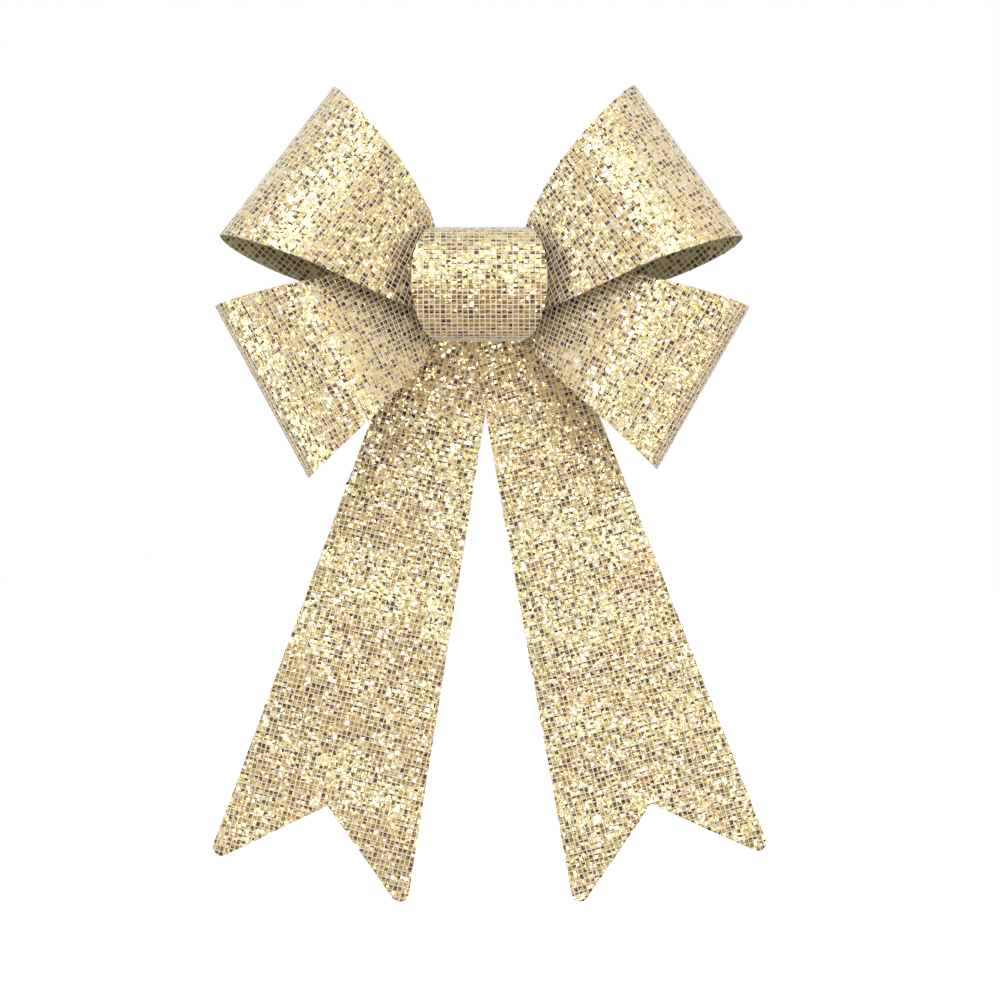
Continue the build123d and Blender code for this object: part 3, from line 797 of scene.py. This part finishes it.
def felt_pad(material):
    """A pressed pad of felt: a lumpy closed slab with rounded corners."""
    columns, rows = FELT_CELLS
    half_length = FELT[0] / 2
    grain = np.random.default_rng(FELT_SEED)
    x = -half_length * np.cos(np.linspace(0.0, math.pi, columns + 1))
    x = 0.5 * x + 0.5 * np.linspace(-half_length, half_length, columns + 1)
    v = np.linspace(-1, 1, rows + 1)
    gx, gv = np.meshgrid(x, v, indexing="ij")
    gz = gv * rounded_half(gx)
    edge_distance = np.minimum(half_length - np.abs(gx), rounded_half(gx) - np.abs(gz))
    crown = smooth(edge_distance / FELT_CROWN[0])
    front = STACK_Y + FELT_FRONT
    layers = []
    for depth, outwards in ((front, -1), (front + FELT[1], 1)):
        lumps = grain.normal(0, FELT_LUMP, gx.shape)
        y = depth - outwards * (1 - crown) * FELT_CROWN[1] + lumps * crown * FELT_LUMP_SHARE
        layers.append(np.stack([gx + FELT_CENTRE_X, y, gz], axis=-1).reshape(-1, 3) * MM)
    points = np.concatenate(layers)
    count = (columns + 1) * (rows + 1)
    faces = []

    def vertex(a, b, layer):
        return layer * count + a * (rows + 1) + b

    for a in range(columns):
        for b in range(rows):
            ring = [vertex(a, b, 0), vertex(a + 1, b, 0), vertex(a + 1, b + 1, 0), vertex(a, b + 1, 0)]
            faces.append(tuple(ring))
            faces.append(tuple(n + count for n in reversed(ring)))
    edge = [(a, 0) for a in range(columns)] + [(columns, b) for b in range(rows)]
    edge += [(a, rows) for a in range(columns, 0, -1)] + [(0, b) for b in range(rows, 0, -1)]
    for n, (a, b) in enumerate(edge):
        c, d = edge[(n + 1) % len(edge)]
        faces.append((vertex(c, d, 0), vertex(a, b, 0), vertex(a, b, 1), vertex(c, d, 1)))
    pad = compact("felt_pad", points, faces, [material], [0] * len(faces), np.zeros((len(points), 2)))
    smooth_faces(pad)
    return pad


def felt_fibres(material):
    """Loose fibres that stand a little off the felt's back and edge."""
    fibre = np.random.default_rng(FIBRE_SEED)
    half_length = FELT[0] / 2
    points, faces = [], []
    for n in range(FIBRES):
        x = fibre.uniform(-half_length, half_length) * FIBRE_SPREAD
        top = rounded_half(x)
        z = fibre.uniform(-1, 1) * top * FIBRE_SPREAD
        y = STACK_Y + FELT_FRONT + FELT[1]
        if n % 3 == 0:
            z = math.copysign(top, z)
            y -= fibre.uniform(*FIBRE_EDGE_DEPTHS)
        start_turn = fibre.uniform(0, 2 * math.pi)
        curl = fibre.uniform(-FIBRE_CURL, FIBRE_CURL)
        length = fibre.uniform(*FIBRE_LENGTHS)
        here = np.array([x, y, z])
        spine = [here]
        for step in range(FIBRE_STEPS):
            turn = start_turn + curl * step / FIBRE_STEPS
            rise = FIBRE_RISE * math.sin(math.pi * (step + 0.5) / FIBRE_STEPS)
            rise = rise if step < FIBRE_RISING_STEPS else -rise
            move = np.array([math.cos(turn), 0, math.sin(turn)]) * length / FIBRE_STEPS
            here = here + move + np.array([0, rise, 0])
            reach_z = rounded_half(np.clip(here[0], -half_length, half_length)) + FIBRE_OVERHANG
            reach_x = half_length + FIBRE_OVERHANG
            here[0] = np.clip(here[0], -reach_x, reach_x)
            here[2] = np.clip(here[2], -reach_z, reach_z)
            spine.append(here)
        base = len(points)
        for place in spine:
            for k in range(FIBRE_SIDES):
                angle = 2 * math.pi * k / FIBRE_SIDES
                ring = FIBRE_RADIUS * np.array([math.cos(angle), math.sin(angle), math.sin(angle + 1)])
                points.append((place + ring + np.array([FELT_CENTRE_X, 0, 0])) * MM)
        for step in range(FIBRE_STEPS):
            for k in range(FIBRE_SIDES):
                a = base + FIBRE_SIDES * step + k
                b = base + FIBRE_SIDES * step + (k + 1) % FIBRE_SIDES
                faces.append((a, b, b + FIBRE_SIDES, a + FIBRE_SIDES))
    return new_object("felt_fibres", np.array(points), faces, [material])


def wire_tube(name, path, radius, material):
    """A round wire along a smooth path, with closed ends."""
    sides = WIRE_SIDES
    along = unit(np.gradient(path, axis=0))
    side = unit(np.cross(along, [0.0, 0.0, 1.0]))
    other = np.cross(side, along)
    angle = (2 * math.pi * np.arange(sides) / sides)[None, :, None]
    rings = path[:, None] + radius * (np.cos(angle) * side[:, None] + np.sin(angle) * other[:, None])
    faces = []
    for n in range(len(path) - 1):
        for k in range(sides):
            a, b = n * sides + k, n * sides + (k + 1) % sides
            faces.append((b, a, a + sides, b + sides))
    faces.append(tuple(range(sides)))
    faces.append(tuple(reversed([(len(path) - 1) * sides + k for k in range(sides)])))
    obj = new_object(name, rings.reshape(-1, 3) * MM, faces, [material])
    smooth_faces(obj, corners=4)
    return obj


def spring_path():
    """From the end of the plate's leg, round the pin, to the end of the handle's leg."""
    height = COIL_PITCH * COIL_TURNS
    leg_y = PLATE_INNER_Y - PIVOT[1] + WIRE / 2 + LEG_CLEARANCE
    coil = []
    for i in range(COIL_SAMPLES + 1):
        share = i / COIL_SAMPLES
        turned = math.radians(-90 - 360 * COIL_TURNS * share)
        x, y = COIL_RADIUS * math.cos(turned), COIL_RADIUS * math.sin(turned)
        coil.append((x, y, height * (share - 0.5)))
    leg = np.linspace((LEG_REACH, leg_y, -height / 2), coil[0], LEG_SAMPLES, endpoint=False)
    end = np.array(coil[-1])
    handle = np.array([end] + [end + np.array([reach, lift, 0.0]) for reach, lift in HANDLE_LEG])
    along = np.linspace(0, len(handle) - 1, HANDLE_LEG_SAMPLES)[1:]
    out = np.stack([np.interp(along, range(len(handle)), handle[:, i]) for i in range(3)], axis=1)
    return np.concatenate([leg, np.array(coil), out]) + np.array([*PIVOT, 0.0])


# ---------------------------------------------------------------- build
threads = thread_material()
rim = rim_material()
strips = [(loop_strip(name, LOOP_SEED + n), name + "_loop", "folded") for n, name in enumerate(LOOPS)]
strips += [(tail_strip(side, TAIL_SEED + n), side + "_tail", "hung") for n, side in enumerate(TAIL_ANGLE)]
strips.append((knot_strip(KNOT_SEED), "knot_band", "folded"))
for number, (strip, node, held) in enumerate(strips):
    # the knot band gets the deeper amber copy of the foil colours: painted shade
    tint = KNOT_SHADE_TINT if node == "knot_band" else FOIL_TINT
    foil = foil_material("foil_" + node, FOIL_SHIFT[0] + FOIL_SHIFT[1] * number, tint)
    backing = backing_material("backing_" + node, BACKING_SHIFT[0] + BACKING_SHIFT[1] * number)
    body = foil_sheet(strip, [foil, backing, rim])
    threads_piece = net(strip, threads)
    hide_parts(node)
    for piece in (body, threads_piece):
        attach(piece, "bow")
    area = np.trapz(2 * strip.half_widths, strip.arc) * MM * MM
    if node.endswith("tail"):
        area -= TAIL_NOTCH * TAIL_TIP_HALF_WIDTH * MM * MM

felt = felt_material()
pad = felt_pad(felt)
fibres = felt_fibres(felt)
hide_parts("felt_backing")
for piece in (pad, fibres):
    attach(piece, "bow")

spring_steel = steel_material("spring_steel", (0.66, 0.69, 0.74), False, 0.18)
spring = wire_tube("torsion_spring", spring_path(), WIRE / 2, spring_steel)
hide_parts("clip_spring")
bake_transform(spring)

nickel = steel_material("nickel_plate", (0.74, 0.76, 0.80), True, 0.16)
finishes = {
    "clip_plate": nickel,
    "clip_jaw": nickel,
    "clip_pivot_pin": steel_material("pin_steel", (0.66, 0.68, 0.72), False, 0.22),
    "centre_tie": nylon_material(),
    "tail_glue": glue_material(),
    "clip_glue": glue_material(),
}
for node, material in finishes.items():
    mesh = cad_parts[node].data
    mesh.materials.clear()
    mesh.materials.append(material)


# ---------------------------------------------------------------- light, floor, camera
FLOOR_Z = -0.26
FLOOR_REACH = 3
FLOOR_COLOUR = (0.85, 0.85, 0.85, 1)
FLOOR_GLOW = 0.7
WHITE = (1, 1, 1, 1)

# what the matt surfaces are lit by, and what the foil reflects, from straight below to straight above
SOFT_SKY = [(0.0, (0.84, 0.76, 0.62)), (0.35, (0.78, 0.74, 0.68)), (0.55, (0.73, 0.72, 0.71)),
            (1.0, (0.70, 0.70, 0.70))]
SHARP_SKY = [(0.0, (0.36, 0.30, 0.21)), (0.20, (0.39, 0.32, 0.22)), (0.36, (0.50, 0.43, 0.33)),
             (0.50, (0.70, 0.68, 0.65)), (0.66, (0.84, 0.83, 0.81)), (1.0, (0.84, 0.84, 0.84))]
# bright panels that only glossy surfaces reflect: direction, full and faded half angle in degrees, gain
GLINT_PANELS = [
    ((-0.08, -0.80, 0.58), 9, 15, 11.0),
    ((-0.79, -0.44, -0.43), 10, 16, 8.0),
    ((0.78, -0.44, -0.42), 8, 14, 7.0),
    ((0.30, -0.95, -0.10), 5, 9, 10.0),
]
# name, place, aim, size, watts
LAMPS = [
    ("key", (-0.10, -0.85, 0.62), (0, 0, -0.05), (0.35, 0.35), 1.6),
    ("front", (0.0, -1.15, 0.05), (0, 0, -0.08), (1.4, 1.2), 5.2),
    ("left", (-0.95, -0.30, 0.0), (0, 0, -0.05), (0.3, 0.5), 1.0),
    ("right", (0.95, -0.30, 0.15), (0, 0, -0.05), (0.3, 0.5), 1.0),
]
CAMERA_DISTANCE = 0.560
CAMERA_X = 0.0067
CAMERA_Z = -0.0722


def area_light(name, place, aim, size, power):
    data = bpy.data.lights.new(name, "AREA")
    data.shape = "RECTANGLE"
    data.size, data.size_y = size
    data.energy = power
    lamp = bpy.data.objects.new(name, data)
    lamp.location = place
    lamp.visible_glossy = False
    lamp.rotation_euler = (Vector(aim) - Vector(place)).to_track_quat("-Z", "Y").to_euler()
    bpy.context.collection.objects.link(lamp)


def studio_world():
    """A world that looks white to the camera, evenly lights matt surfaces and has glints for the foil."""
    world = bpy.data.worlds.new("studio")
    world.use_nodes = True
    graph = Graph(world.node_tree)
    towards = graph.new("TexCoord", {}).outputs["Generated"]
    height = graph.spread(graph.new("SeparateXYZ", {0: towards}).outputs["Z"], from_min=-1.0)
    soft = graph.ramp(height, SOFT_SKY)
    sharp = graph.ramp(height, SHARP_SKY)
    for aim, inner, outer, gain in GLINT_PANELS:
        near = graph.vector("DOT_PRODUCT", towards, Vector(aim).normalized())
        edges = math.cos(math.radians(outer)), math.cos(math.radians(inner))
        sharp = graph.vector("ADD", sharp, graph.spread(near, *edges, to_max=gain))
    ray = graph.new("LightPath", {}).outputs
    lit = graph.mix(ray["Is Glossy Ray"], soft, sharp)
    graph.feed(graph.nodes["Background"], {0: graph.mix(ray["Is Camera Ray"], lit, WHITE)})
    return world


floor_material, _, _ = start_material("floor", {
    "Base Color": FLOOR_COLOUR, "Roughness": 0.9, "Emission Color": WHITE, "Emission Strength": FLOOR_GLOW})
corners = [(x * FLOOR_REACH, y * FLOOR_REACH, FLOOR_Z) for x, y in ((-1, -1), (1, -1), (1, 1), (-1, 1))]
floor = new_object("floor", np.array(corners), [(0, 1, 2, 3)], [floor_material])
floor.visible_glossy = False
floor.visible_diffuse = False

bpy.context.scene.world = studio_world()
for lamp in LAMPS:
    area_light(*lamp)

camera_data = bpy.data.cameras.new("camera")
camera_data.lens = 60.0
camera_data.sensor_width = 36.0
camera = bpy.data.objects.new("camera", camera_data)
camera.location = (CAMERA_X, STACK_Y * MM - CAMERA_DISTANCE, CAMERA_Z)
camera.rotation_euler = (math.radians(90), 0, 0)
bpy.context.collection.objects.link(camera)
bpy.context.scene.camera = camera
bpy.context.scene.view_settings.view_transform = "Standard"
